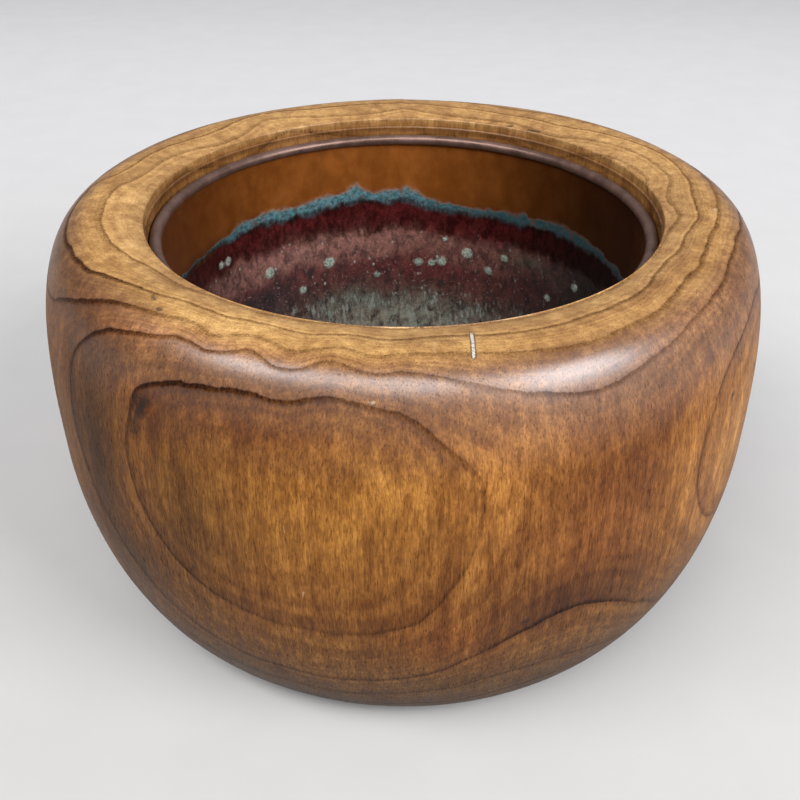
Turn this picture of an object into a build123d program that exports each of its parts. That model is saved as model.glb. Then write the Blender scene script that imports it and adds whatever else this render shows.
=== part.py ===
from build123d import *
import math
import os

# Hollowed-log brazier bowl with a drop-in sheet-copper liner, all in millimetres.
# +Z is up. The origin is the centre of the underside, on the surface that the bowl stands on.

# ---- log: outer form ----
HEIGHT = 260.0            # floor to the crest of the rim
BELLY_RADIUS = 227.0      # widest radius
BELLY_Z = 128.0           # height of the widest radius
BASE_RADIUS = 169.0       # where the belly rolls under onto the flat foot ring
CREST_RADIUS = 190.0      # highest circle of the rim
MOUTH_RADIUS = 159.0      # inner arris of the rim
MOUTH_DROP = 4.4          # the rim falls this much from the crest to the arris
LOWER_ROUNDNESS = (2.0, 1.8)   # superellipse exponents below the belly: radial, vertical
UPPER_ROUNDNESS = (2.5, 2.8)   # and above it
OUTLINE_STEPS = 18        # points on each quarter of the outline
ARRIS_ROUND = 1.0         # wear on the inner arris

# ---- log: mouth, bore and base ----
STEP_DEPTH = 5.8          # shallow step in the mouth wall, below the arris
STEP_WIDTH = 0.8
LEDGE_DEPTH = 17.8        # ledge that carries the liner's rim, below the arris
BORE_RADIUS = 155.5       # straight bore below the ledge
BORE_CHAMFER = 0.3
REBATE_RADIUS = 162.0     # recess in the underside for the base board
REBATE_TOP_Z = 26.0
BOARD_THICKNESS = 20.0
BOARD_CLEARANCE = 0.2     # round the board's edge
BOARD_EDGE_CHAMFER = 1.5

# ---- bamboo nails through the base board ----
NAIL_COUNT = 8
NAIL_RADIUS = 1.5
NAIL_CIRCLE_RADIUS = 158.8
NAIL_BITE = 15.0          # length driven into the log
NAIL_HOLE_CLEARANCE = 0.02
NAIL_POINT_RADIUS = 0.8

# ---- copper liner ----
SHEET = 1.0               # copper sheet thickness
LINER_INNER_RADIUS = 153.1
LINER_DEPTH = 190.0       # arris of the log to the liner's floor
FLANGE_HEIGHT = 7.0       # turned-down edge of the floor
FLANGE_BEND_RADIUS = 2.0
SEAM_WIDTH = 14.0         # outside lap of the upright seam
SEAM_ANGLE = -90.0        # the seam faces -Y
BEAD_RADIUS = 3.7         # rolled rim bead, outside
BEAD_SHEET = 0.9
BEAD_DEPTH = 14.5         # arris of the log to the bead's centre
WIRE_CLEARANCE = 0.02

# ---- worked out from the above ----
MOUTH_Z = HEIGHT - MOUTH_DROP
STEP_Z = MOUTH_Z - STEP_DEPTH
LEDGE_Z = MOUTH_Z - LEDGE_DEPTH
LEDGE_OUTER_RADIUS = MOUTH_RADIUS - STEP_WIDTH
BOARD_Z = REBATE_TOP_Z - BOARD_THICKNESS
LINER_OUTER_RADIUS = LINER_INNER_RADIUS + SHEET
LINER_FLOOR_Z = MOUTH_Z - LINER_DEPTH
LINER_FOOT_Z = LINER_FLOOR_Z - FLANGE_HEIGHT
BEAD_Z = MOUTH_Z - BEAD_DEPTH
BEAD_CIRCLE_RADIUS = LINER_INNER_RADIUS + SHEET / 2
BEAD_INNER_RADIUS = BEAD_RADIUS - BEAD_SHEET
WIRE_RADIUS = BEAD_INNER_RADIUS - WIRE_CLEARANCE
WALL_TOP_Z = BEAD_Z - BEAD_INNER_RADIUS


def quarter_outline(pole, pole_z, exponents):
    """Points of a superellipse quarter from the belly to (pole, pole_z)."""
    radial, vertical = exponents
    points = []
    for step in range(OUTLINE_STEPS + 1):
        angle = math.pi / 2 * step / OUTLINE_STEPS
        reach = math.cos(angle) ** (2 / radial) if step < OUTLINE_STEPS else 0.0
        climb = math.sin(angle) ** (2 / vertical)
        radius = pole + (BELLY_RADIUS - pole) * reach
        points.append((radius, BELLY_Z + (pole_z - BELLY_Z) * climb))
    return points


def revolved(outline):
    """Full turn of a closed outline of edges about the bowl's axis."""
    section = make_face(outline)
    return revolve(section, axis=Axis.Z, revolution_arc=360)


def on_axis_plane(points):
    """Radius and height pairs as points of the plane y = 0."""
    return [(radius, 0, height) for radius, height in points]


def ring(inner, outer, low, high):
    """Plain ring of rectangular section about the bowl's axis."""
    height = high - low
    tube = Cylinder(outer, height) - Cylinder(inner, height)
    return Pos(0, 0, (low + high) / 2) * tube


def polar_places(radius, count, first_angle=0.0):
    """Evenly spaced places on a circle about the bowl's axis."""
    for index in range(count):
        angle = math.radians(first_angle + 360 * index / count)
        yield radius * math.cos(angle), radius * math.sin(angle)


def nail_holes():
    """Clearance for the nails, through the board and into the log."""
    length = BOARD_THICKNESS + NAIL_BITE
    radius = NAIL_RADIUS + NAIL_HOLE_CLEARANCE
    middle = BOARD_Z + length / 2
    places = polar_places(NAIL_CIRCLE_RADIUS, NAIL_COUNT)
    return [Pos(x, y, middle) * Cylinder(radius, length) for x, y in places]


def log_shell():
    """The log: round belly, soft rim, stepped mouth with a ledge, through bore and base rebate."""
    belly_low = on_axis_plane(quarter_outline(BASE_RADIUS, 0.0, LOWER_ROUNDNESS))
    belly_high = on_axis_plane(quarter_outline(CREST_RADIUS, HEIGHT, UPPER_ROUNDNESS))
    low_curve = Spline(*belly_low, tangents=[(0, 0, -1), (-1, 0, 0)])
    high_curve = Spline(*belly_high, tangents=[(0, 0, 1), (-1, 0, 0)])
    rim_top = TangentArc(belly_high[-1], (MOUTH_RADIUS, 0, MOUTH_Z), tangent=(-1, 0, 0))
    inside = on_axis_plane([
        (MOUTH_RADIUS, MOUTH_Z),
        (MOUTH_RADIUS, STEP_Z),
        (LEDGE_OUTER_RADIUS, STEP_Z - STEP_WIDTH),
        (LEDGE_OUTER_RADIUS, LEDGE_Z),
        (BORE_RADIUS + BORE_CHAMFER, LEDGE_Z),
        (BORE_RADIUS, LEDGE_Z - BORE_CHAMFER),
        (BORE_RADIUS, REBATE_TOP_Z),
        (REBATE_RADIUS, REBATE_TOP_Z),
        (REBATE_RADIUS, 0.0),
        (BASE_RADIUS, 0.0),
    ])
    shell = revolved(low_curve + high_curve + rim_top + Polyline(*inside))
    arris = shell.edges().filter_by(GeomType.CIRCLE).sort_by(
        lambda edge: math.dist((edge.radius, edge.center().Z), (MOUTH_RADIUS, MOUTH_Z)))[0]
    shell = fillet(arris, ARRIS_ROUND)
    return shell - nail_holes()


def base_board():
    """Round board let into the underside, a little above the foot ring."""
    board = Cylinder(REBATE_RADIUS - BOARD_CLEARANCE, BOARD_THICKNESS)
    board = chamfer(board.edges().group_by(Axis.Z)[0], BOARD_EDGE_CHAMFER)
    board = Pos(0, 0, BOARD_Z + BOARD_THICKNESS / 2) * board
    return board - nail_holes()


def base_nails():
    """Bamboo nails, cut flush with the board's underside and pointed at the top."""
    shank = BOARD_THICKNESS + NAIL_BITE / 2
    point = NAIL_BITE / 2
    nail = Pos(0, 0, shank / 2) * Cylinder(NAIL_RADIUS, shank)
    nail += Pos(0, 0, shank + point / 2) * Cone(NAIL_RADIUS, NAIL_POINT_RADIUS, point)
    places = polar_places(NAIL_CIRCLE_RADIUS, NAIL_COUNT)
    return Compound(children=[Pos(x, y, BOARD_Z) * nail for x, y in places])


def liner_wall():
    """Sheet cylinder whose outer end laps over the inner one along an upright seam."""
    wall = ring(LINER_INNER_RADIUS, LINER_OUTER_RADIUS, LINER_FOOT_Z, WALL_TOP_Z)
    lap_top = BEAD_Z - BEAD_RADIUS - SHEET
    lap = ring(LINER_OUTER_RADIUS, LINER_OUTER_RADIUS + SHEET, LINER_FOOT_Z, lap_top)
    window = Box(4 * SHEET, SEAM_WIDTH, HEIGHT)
    window = Rot(0, 0, SEAM_ANGLE) * Pos(LINER_OUTER_RADIUS, 0, HEIGHT / 2) * window
    return wall + (lap & window)


def liner_bottom():
    """Floor disc with a turned-down flange that fits inside the foot of the wall."""
    blank = Cylinder(LINER_INNER_RADIUS, FLANGE_HEIGHT)
    blank = fillet(blank.edges().group_by(Axis.Z)[-1], FLANGE_BEND_RADIUS)
    hollow = Cylinder(LINER_INNER_RADIUS - SHEET, FLANGE_HEIGHT)
    hollow = fillet(hollow.edges().group_by(Axis.Z)[-1], FLANGE_BEND_RADIUS - SHEET)
    pan = blank - Pos(0, 0, -SHEET) * hollow
    return Pos(0, 0, LINER_FOOT_Z + FLANGE_HEIGHT / 2) * pan


def liner_rim():
    """Slit copper tube bent into a ring, with the wall's edge pushed up into the slit."""
    tube = Torus(BEAD_CIRCLE_RADIUS, BEAD_RADIUS) - Torus(BEAD_CIRCLE_RADIUS, BEAD_INNER_RADIUS)
    tube = Pos(0, 0, BEAD_Z) * tube
    return tube - ring(LINER_INNER_RADIUS, LINER_OUTER_RADIUS, BEAD_Z - 2 * BEAD_RADIUS, BEAD_Z)


def rim_wire():
    """Iron wire that fills the bead above the wall's edge."""
    return Pos(0, 0, BEAD_Z) * Torus(BEAD_CIRCLE_RADIUS, WIRE_RADIUS)


PIECES = {
    "log_shell": log_shell,
    "base_board": base_board,
    "base_nails": base_nails,
    "liner_wall": liner_wall,
    "liner_bottom": liner_bottom,
    "liner_rim": liner_rim,
    "rim_wire": rim_wire,
}

os.makedirs("parts", exist_ok=True)
for name, make in PIECES.items():
    export_step(make(), f"parts/{name}.step")
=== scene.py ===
import math

import bpy
import numpy as np
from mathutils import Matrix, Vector


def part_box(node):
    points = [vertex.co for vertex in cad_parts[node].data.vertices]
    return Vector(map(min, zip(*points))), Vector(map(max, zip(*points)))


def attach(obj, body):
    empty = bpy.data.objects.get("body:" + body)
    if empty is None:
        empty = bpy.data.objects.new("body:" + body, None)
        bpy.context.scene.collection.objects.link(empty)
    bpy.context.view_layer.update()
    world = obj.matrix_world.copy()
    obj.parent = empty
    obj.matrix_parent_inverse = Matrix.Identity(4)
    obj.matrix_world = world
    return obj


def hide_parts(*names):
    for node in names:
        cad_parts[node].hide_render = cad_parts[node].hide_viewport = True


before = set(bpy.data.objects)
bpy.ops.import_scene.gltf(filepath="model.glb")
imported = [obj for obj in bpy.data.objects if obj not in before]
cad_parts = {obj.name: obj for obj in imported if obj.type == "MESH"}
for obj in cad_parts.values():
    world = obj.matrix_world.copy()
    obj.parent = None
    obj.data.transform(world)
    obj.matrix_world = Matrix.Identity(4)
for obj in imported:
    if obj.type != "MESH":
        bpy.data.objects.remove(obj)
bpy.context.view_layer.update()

# A bowl turned from one log, with a drop-in copper liner. Lengths are in metres unless a name says MM.
# Azimuth is in degrees from the front (-Y), positive towards +X. "Run" is the distance in millimetres
# along the log's outline, from the foot ring, up the belly and over the rim to the inner arris.
MM = 0.001

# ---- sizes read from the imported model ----
LOG_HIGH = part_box("log_shell")[1]
HEIGHT = LOG_HIGH.z
BELLY_RADIUS = LOG_HIGH.x
BOARD_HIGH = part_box("base_board")[1]
BEAD_LOW, BEAD_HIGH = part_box("liner_rim")
BEAD_RADIUS = (BEAD_HIGH.z - BEAD_LOW.z) / 2
BEAD_CIRCLE = BEAD_HIGH.x - BEAD_RADIUS
BEAD_Z = BEAD_HIGH.z - BEAD_RADIUS
WALL_LOW, WALL_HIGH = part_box("liner_wall")
LINER_OUTER = WALL_HIGH.x
FLOOR_LOW, FLOOR_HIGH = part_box("liner_bottom")

# ---- the rest of the log's outline, as in the CAD model ----
BELLY_Z = 0.128
BASE_RADIUS = 0.169
CREST_RADIUS = 0.190
MOUTH_RADIUS = 0.159
MOUTH_DROP = 0.0044
LOWER_ROUNDNESS = (2.0, 1.8)
UPPER_ROUNDNESS = (2.5, 2.8)
ARRIS_ROUND = 0.001
STEP_DEPTH = 0.0058
STEP_WIDTH = 0.0008
LEDGE_DEPTH = 0.0178
BORE_RADIUS = 0.1555
BORE_CHAMFER = 0.0003
REBATE_CLEARANCE = 0.0002
MOUTH_Z = HEIGHT - MOUTH_DROP

# ---- the liner's sheet ----
SHEET = 0.001
BEAD_SHEET = 0.0009
LINER_INNER = LINER_OUTER - SHEET
SEAM_WIDTH = 0.014
FLANGE_BEND = 0.002

# ---- how fine the meshes are, with columns in degrees ----
LOG_ROWS = [(0, 0.0042), (0.236, 0.0022), (0.286, 0.0014)]  # (run in metres, spacing from there on)
QUARTER_STEPS = 160
RIPPLE_WAVES = 14
LOG_COLUMN = 0.65
LOG_CLOSE_UPS = [(7.6, 12.2, 0.16), (3.2, 5.2, 0.25)]  # at the gouge and at the scratch by it
WALL_ROWS = (105, 30)  # inside, outside
WALL_COLUMN = 0.75
SEAM_COLUMN = 0.12
FLOOR_COLUMN = 1.0
BEAD_COLUMN = 0.6
BEAD_STEPS = 26
SHARP_ANGLE = 40  # edges sharper than this are shaded crisp

# ---- relief, in millimetres ----
LOG_HOLLOW = 0.28
LOG_RIPPLE = 0.06
WALL_DENT = 0.22
TIDE_CRUST = 0.2
SPOT_CRUST = 0.45
LOW_CRUST = 0.12
FLOOR_SAG = 1.1
FLOOR_RIPPLE = 0.5
BEAD_DING = 0.16


# ======== Meshes ========

def grid_faces(rows, columns, close_rows):
    """Quads between neighbouring rows of a grid whose columns close on themselves."""
    corner = np.arange(rows * columns).reshape(rows, columns)
    below = np.roll(corner, -1, 0)
    quads = np.stack([corner, np.roll(corner, -1, 1), np.roll(below, -1, 1), below], -1)
    return (quads if close_rows else quads[:-1]).reshape(-1, 4)


def placed(name, data):
    """A new object in the scene."""
    made = bpy.data.objects.new(name, data)
    bpy.context.scene.collection.objects.link(made)
    return made


def turned_piece(name, radius, height, azimuth):
    """Closed piece with radius and height of (rows, columns) and one azimuth a column. First and last
    rows of radius 0 become single poles; otherwise the rows close in a loop."""
    angle = np.radians(azimuth)[None]
    points = np.stack([radius * np.sin(angle), -radius * np.cos(angle), height], -1)
    rows, columns = radius.shape
    poles = radius[0].max() == 0
    if poles:
        body = points[1:-1].reshape(-1, 3)
        faces = grid_faces(rows - 2, columns, False)
        column = np.arange(columns)
        after = np.roll(column, -1)
        last_row = (rows - 3) * columns
        top = np.stack([np.full(columns, len(body)), after, column], -1)
        bottom = np.stack([np.full(columns, len(body) + 1), last_row + column, last_row + after], -1)
        vertices = np.vstack([body, points[0, :1], points[-1, :1]])
        triangles = np.vstack([top, bottom])
    else:
        vertices = points.reshape(-1, 3)
        faces = grid_faces(rows, columns, True)
        triangles = np.zeros((0, 3), int)
    mesh = bpy.data.meshes.new(name)
    mesh.from_pydata(vertices.tolist(), [], faces.tolist() + triangles.tolist())
    if enclosed_volume(vertices, faces) < 0:
        mesh.flip_normals()
    mesh.polygons.foreach_set("use_smooth", np.ones(len(mesh.polygons), bool))
    mesh.set_sharp_from_angle(angle=math.radians(SHARP_ANGLE))
    return placed(name, mesh)


def enclosed_volume(vertices, quads):
    """Signed volume inside the quads, times six."""
    a, b, c, d = (vertices[quads[:, k]] for k in range(4))
    return float(np.einsum("ij,ij->", a, np.cross(b, c) + np.cross(c, d)))


def store(piece, **layers):
    """Keeps grids of numbers or colours on the piece's vertices for its material."""
    for name, values in layers.items():
        kind, field = ("FLOAT", "value") if values.ndim == 2 else ("FLOAT_COLOR", "color")
        if values.ndim == 3:
            values = np.concatenate([values, np.ones((*values.shape[:2], 1))], -1)
        layer = piece.data.attributes.new(name, kind, "POINT")
        layer.data.foreach_set(field, values.astype(np.float32).ravel())


def around(step, close_ups=()):
    """Azimuths all the way round, with finer steps inside each (from, to, step) close-up."""
    columns = np.arange(-180, 180, step)
    for start, end, fine in close_ups:
        columns = columns[(columns < start) | (columns > end)]
        columns = np.append(columns, np.arange(start, end + fine / 2, fine))
    return np.sort(columns)


def turned_grid(profile, columns):
    """Azimuth, radius and height of every row and column."""
    azimuth, height = np.meshgrid(columns, profile[:, 1])
    return azimuth, np.repeat(profile[:, :1], len(columns), 1), height


def resampled(points, gaps):
    """The polyline through points, with rows spaced by gaps = [(run it starts at, spacing)]."""
    points = np.array(points)
    run = np.append(0, np.cumsum(np.hypot(*np.diff(points, axis=0).T)))
    rows = []
    for (start, gap), end in zip(gaps, [g[0] for g in gaps[1:]] + [run[-1]]):
        rows += list(np.linspace(start, end, max(2, round((end - start) / gap)), endpoint=False))
    rows = np.array(rows + [run[-1]])
    return np.stack([np.interp(rows, run, points[:, k]) for k in (0, 1)], -1)


def ripples(x, y, size, seed):
    """Smooth random relief from -1 to 1 over x and y, with size as its usual wavelength."""
    random = np.random.RandomState(seed)
    total = 0
    for _ in range(RIPPLE_WAVES):
        angle, phase = random.uniform(0, 2 * math.pi, 2)
        length = size * random.uniform(0.6, 2.2)
        total = total + np.sin((x * np.cos(angle) + y * np.sin(angle)) * 2 * math.pi / length + phase)
    return np.tanh(total / math.sqrt(RIPPLE_WAVES))


def smooth(value, low, high):
    """0 below low, 1 above high, and eased in between."""
    share = np.clip((value - low) / (high - low), 0, 1)
    return share * share * (3 - 2 * share)


# ======== The log ========

def quarter(pole, pole_z, exponents):
    """Dense superellipse quarter from the belly to (pole, pole_z)."""
    angle = np.linspace(0, math.pi / 2, QUARTER_STEPS)
    reach = np.clip(np.cos(angle), 0, 1) ** (2 / exponents[0])
    climb = np.sin(angle) ** (2 / exponents[1])
    return list(zip(pole + (BELLY_RADIUS - pole) * reach, BELLY_Z + (pole_z - BELLY_Z) * climb))


def outer_outline():
    """Foot ring to inner arris, over the belly, the shoulder and the soft top of the rim."""
    lower = quarter(BASE_RADIUS, 0.0, LOWER_ROUNDNESS)[::-1]
    upper = quarter(CREST_RADIUS, HEIGHT, UPPER_ROUNDNESS)[1:]
    width = CREST_RADIUS - MOUTH_RADIUS
    arc_radius = (width ** 2 + MOUTH_DROP ** 2) / (2 * MOUTH_DROP)
    inward = np.linspace(0, width - ARRIS_ROUND, 40)[1:]
    top = zip(CREST_RADIUS - inward, HEIGHT - arc_radius + np.sqrt(arc_radius ** 2 - inward ** 2))
    return lower + upper + list(top)


def corner(centre, start, end, radius, steps=5):
    """Points of a small round from one angle to another, in degrees."""
    angles = np.radians(np.linspace(start, end, steps))
    return [(centre[0] + radius * math.cos(a), centre[1] + radius * math.sin(a)) for a in angles]


def straight(start, end, rows):
    """Points from start, which is left out, to end."""
    return [(start[0] + (end[0] - start[0]) * k / rows, start[1] + (end[1] - start[1]) * k / rows)
            for k in range(1, rows + 1)]


def mouth_outline(start):
    """Arris, stepped mouth wall, ledge, bore, rebate and the underside of the foot ring."""
    rebate_radius = BOARD_HIGH.x + REBATE_CLEARANCE
    step_z = MOUTH_Z - STEP_DEPTH
    ledge_z = MOUTH_Z - LEDGE_DEPTH
    ledge_radius = MOUTH_RADIUS - STEP_WIDTH
    points = corner((MOUTH_RADIUS + ARRIS_ROUND, start[1] - ARRIS_ROUND), 105, 180, ARRIS_ROUND)
    for target, rows in [((MOUTH_RADIUS, step_z), 4), ((ledge_radius, step_z - STEP_WIDTH), 3),
                         ((ledge_radius, ledge_z), 6), ((BORE_RADIUS + BORE_CHAMFER, ledge_z), 2),
                         ((BORE_RADIUS, ledge_z - BORE_CHAMFER), 1), ((BORE_RADIUS, BOARD_HIGH.z), 12),
                         ((rebate_radius, BOARD_HIGH.z), 3), ((rebate_radius, 0.0), 3),
                         ((BASE_RADIUS, 0.0), 3)]:
        points += straight(points[-1], target, rows)
    return points[:-1]


# Growth rings on the log: ring number -> points (azimuth, run) on the line where that year ends. The
# belly cuts through the rings, so they close into tall loops on its faces and run round the rim.
RING_LINES = {
    6.3: [(152, 197)],
    6: [(142, 200), (152, 226), (162, 196), (152, 166)],
    5.45: [(-15, 235), (-16, 170), (69, 190), (-124, 200)],
    5: [
        (-11, 273), (-22, 269), (-31, 264), (-37, 254), (-38.5, 236), (-39.5, 214), (-38.5, 190),
        (-35, 165), (-30, 148), (-23, 136), (-13, 131), (-4, 134), (2, 144), (6, 165), (8.5, 188),
        (9.7, 214), (8.5, 238), (4.5, 253), (-1, 267),
        (44, 195), (45, 172), (49, 148), (56, 129), (67, 118), (80, 124), (90, 148), (94, 185),
        (91, 225), (82, 250), (70, 259), (59, 257), (51, 246), (46, 224),
        (128, 190), (134, 228), (150, 252), (167, 240), (176, 200), (170, 155), (152, 133), (134, 154),
        (-148, 205), (-141, 237), (-124, 251), (-106, 232), (-101, 195), (-112, 156), (-131, 150),
        (-144, 174),
    ],
    4.7: [(26, 200), (112, 190)],
    4.6: [(-165, 190), (101, 240), (107, 226)],
    4: [
        (-45, 275), (-38, 282), (-30, 287), (-21, 290), (-10, 290), (-1, 286), (6, 282), (12, 276),
        (19, 270), (27, 268), (34, 273), (43, 280), (52, 285), (62, 290), (72, 289), (84, 282),
        (105, 276), (130, 282), (155, 288), (178, 280), (-152, 272), (-125, 280), (-104, 277),
        (-91, 262), (-86, 225), (-86, 185), (-91, 145), (-104, 108), (-130, 92), (-158, 105),
        (178, 94), (150, 82), (118, 95), (90, 84), (62, 68), (46, 82), (40, 98), (35, 113), (30, 126),
        (25, 134), (20, 133), (14, 122), (9, 109), (4, 97), (-3, 88), (-12, 85), (-22, 87), (-30, 94),
        (-36, 106), (-41, 122), (-46, 142), (-50.5, 162), (-53, 182), (-54.5, 205), (-54.5, 228),
        (-53, 248), (-49.5, 264),
    ],
    3.5: [(-70, 195)],
    3: [
        (-80, 264), (-70, 257), (-63, 261), (-58, 271), (-52, 281), (-45, 291), (-38, 295),
        (-28, 293.5), (-15, 294), (-4, 295), (5, 298), (12, 295), (20, 292), (32, 291.5), (41, 294.5),
        (49, 300), (58, 302.5), (68, 304), (78, 301), (90, 295), (105, 288), (130, 294), (158, 298),
        (-170, 289), (-145, 285), (-120, 291), (-98, 284),
        (-70, 122), (-58, 96), (-46, 78), (-33, 71), (-18, 66.5), (-6, 67), (3, 73), (11, 82),
        (20, 87), (27, 84), (33, 75), (39, 63), (50, 52), (70, 52), (98, 67), (128, 62), (158, 62),
        (-170, 80), (-140, 70), (-112, 74), (-88, 108),
    ],
    2: [
        (-95, 290), (-82, 286), (-69, 287.5), (-60, 290), (-54, 297), (-47, 305), (-38, 311),
        (-26, 313.5), (-8, 315.5), (5, 315.5), (15, 312), (30, 311), (42, 312), (50, 317), (59, 320),
        (69, 317), (84, 310), (100, 304), (125, 303), (152, 311), (-178, 304), (-150, 299),
        (-120, 304),
        (-70, 78), (-40, 52), (-10, 45), (10, 51), (24, 61), (38, 50), (60, 34), (95, 45), (140, 40),
        (-170, 57), (-125, 50),
    ],
    1: [
        (-108, 316), (-90, 306), (-78, 306), (-69, 309.5), (-62, 314), (-55, 320), (-44, 323.5),
        (-25, 326), (0, 328), (25, 327), (45, 328), (62, 329), (80, 322), (100, 313), (120, 314),
        (150, 324), (180, 314), (-145, 312),
        (-90, 36), (-45, 32), (0, 25), (45, 26), (90, 26), (140, 23), (-170, 35), (-130, 30),
    ],
    0.2: [(azimuth, 0) for azimuth in range(-180, 180, 45)],
    0: [(azimuth, 345) for azimuth in range(-180, 180, 45)],
}
MM_PER_DEGREE = 3.5
RING_SOFTNESS = 20.0


def plate_kernel(x0, y0, x1, y1):
    """How two sets of points pull on each other in a thin bent plate."""
    square = (x0[:, None] - x1[None]) ** 2 + (y0[:, None] - y1[None]) ** 2
    return square * np.log(square + 1e-6)


def ring_field():
    """A smooth field over azimuth and run that takes each ring's number along that ring's line."""
    level, azimuth, run = np.array([(number, *point) for number, line in RING_LINES.items()
                                    for point in line], float).T
    x = np.concatenate([azimuth - 360, azimuth, azimuth + 360]) * MM_PER_DEGREE
    y, level = np.tile(run, 3), np.tile(level, 3)
    near = np.abs(x) < 300 * MM_PER_DEGREE
    x, y, level = x[near], y[near], level[near]
    count, scale = len(x), 500.0
    system = np.zeros((count + 3, count + 3))
    system[:count, :count] = plate_kernel(x, y, x, y) + RING_SOFTNESS * np.eye(count)
    for k, values in enumerate((np.ones(count), x / scale, y / scale)):
        system[:count, count + k] = system[count + k, :count] = values
    weights = np.linalg.solve(system, np.append(level, np.zeros(3)))

    def field(azimuth, run):
        px, py = azimuth.ravel() * MM_PER_DEGREE, run.ravel()
        found = []
        for start in range(0, len(px), 4000):
            part = slice(start, start + 4000)
            found.append(plate_kernel(px[part], py[part], x, y) @ weights[:count])
        plane = weights[count] + weights[count + 1] * px / scale + weights[count + 2] * py / scale
        return (np.concatenate(found) + plane).reshape(azimuth.shape)
    return field


def ring_gap(field, azimuth, run, radius_mm):
    """Millimetres of surface from one ring to the next."""
    step = 1.0
    step_degrees = np.degrees(step / radius_mm)
    across = field(azimuth + step_degrees, run) - field(azimuth - step_degrees, run)
    along = field(azimuth, run + step) - field(azimuth, run - step)
    slope = np.hypot(across, along) / (2 * step)
    return np.clip(1 / np.maximum(slope, 1e-4), 4, 160)


# Broad colour of the bare wood, as seen: (run, red, green, blue). Below run 110 it darkens towards the
# foot: painted shade under the belly.
WOOD_BY_RUN = [(0, 62, 44, 30), (45, 92, 66, 42), (80, 118, 86, 54), (110, 134, 93, 52),
               (150, 142, 95, 50), (210, 156, 106, 54), (250, 150, 100, 54), (268, 140, 96, 58),
               (284, 152, 110, 74), (296, 222, 180, 124), (312, 232, 193, 140), (330, 214, 175, 128),
               (334, 196, 150, 100), (336.5, 128, 90, 54), (340, 182, 136, 86), (348, 150, 108, 66)]

# Soft patches over it: (azimuth, run, half width in degrees, half height, red, green, blue, strength).
# The pale patches at (28, 262), (44, 277) and (-25, 288) are paler wood with part of the shoulder's sheen
# painted in as highlight.
WOOD_PATCHES = [
    (-8, 205, 15, 56, 168, 118, 58, 0.7), (-29, 190, 9, 60, 104, 70, 28, 0.8),
    (-9, 92, 9, 20, 146, 106, 68, 0.5), (12, 232, 6, 38, 212, 154, 92, 0.6),
    (0, 230, 9, 26, 200, 146, 78, 0.4), (-18, 251, 20, 7, 124, 74, 32, 0.6),
    (-10, 237, 10, 8, 122, 76, 38, 0.45), (-35, 243, 6, 14, 104, 60, 28, 0.7),
    (-47, 205, 7.5, 80, 62, 38, 18, 0.9), (-54, 215, 3, 45, 58, 36, 18, 0.6),
    (-64, 200, 8, 60, 92, 66, 38, 0.6), (-42, 135, 12, 26, 84, 60, 34, 0.7),
    (26, 190, 12, 50, 138, 84, 48, 0.6), (33, 200, 3.5, 45, 118, 72, 42, 0.5),
    (22, 146, 12, 20, 92, 56, 36, 0.85), (27, 110, 10, 14, 132, 94, 58, 0.6),
    (6, 125, 7, 22, 140, 82, 38, 0.5), (43, 215, 2.5, 50, 190, 130, 68, 0.5),
    (62, 195, 13, 55, 200, 148, 88, 0.75), (82, 195, 12, 55, 190, 140, 84, 0.6),
    # (28, 262): paler wood with part of the shoulder's sheen painted in
    (28, 262, 18, 9, 158, 118, 90, 0.6), (-72, 275, 10, 14, 122, 90, 56, 0.6),
    (-48, 272, 5, 16, 120, 74, 34, 0.6), (-28, 303, 26, 14, 252, 212, 152, 0.85),
    (47, 308, 20, 8, 172, 122, 72, 0.6), (2, 312, 8, 8, 176, 136, 92, 0.6),
    # (-25, 288) and (44, 277): paler wood with part of the shoulder's sheen painted in
    (-25, 288, 22, 7, 214, 164, 118, 0.6), (44, 277, 11, 9, 200, 152, 114, 0.45),
    (-41, 279, 13, 10, 206, 148, 92, 0.6), (50, 185, 9, 60, 214, 158, 100, 0.4),
    (152, 195, 20, 60, 190, 134, 72, 0.6), (-124, 200, 18, 50, 184, 128, 66, 0.6),
    (112, 190, 8, 70, 126, 82, 48, 0.55), (-172, 190, 10, 70, 120, 78, 46, 0.55),
    (-88, 190, 8, 70, 108, 74, 44, 0.55),
]

# How strongly the dark bands show: (azimuth, run, half width, half height, times)
BAND_PATCHES = [(-30, 262, 16, 18, 2.4), (9, 205, 4, 60, 0.5), (22, 130, 13, 14, 2.3),
                (-38, 195, 6, 50, 1.25), (-30, 150, 8, 14, 1.3), (-12, 132, 14, 8, 0.35),
                (-52, 200, 5, 70, 1.3), (46, 190, 5, 60, 1.2), (-57, 288, 18, 26, 2.4),
                (64, 300, 24, 20, 1.7), (30, 276, 34, 10, 0.6), (-22, 300, 24, 12, 0.75)]

# How much polish is left where it is dulled: the same
DULL_PATCHES = [(-62, 245, 24, 60, 0.15), (66, 245, 18, 60, 0.3), (-36, 245, 4, 9, 0.1),
                (-8, 280, 9, 20, 0.7), (-17, 246, 24, 13, 0.35)]

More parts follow.
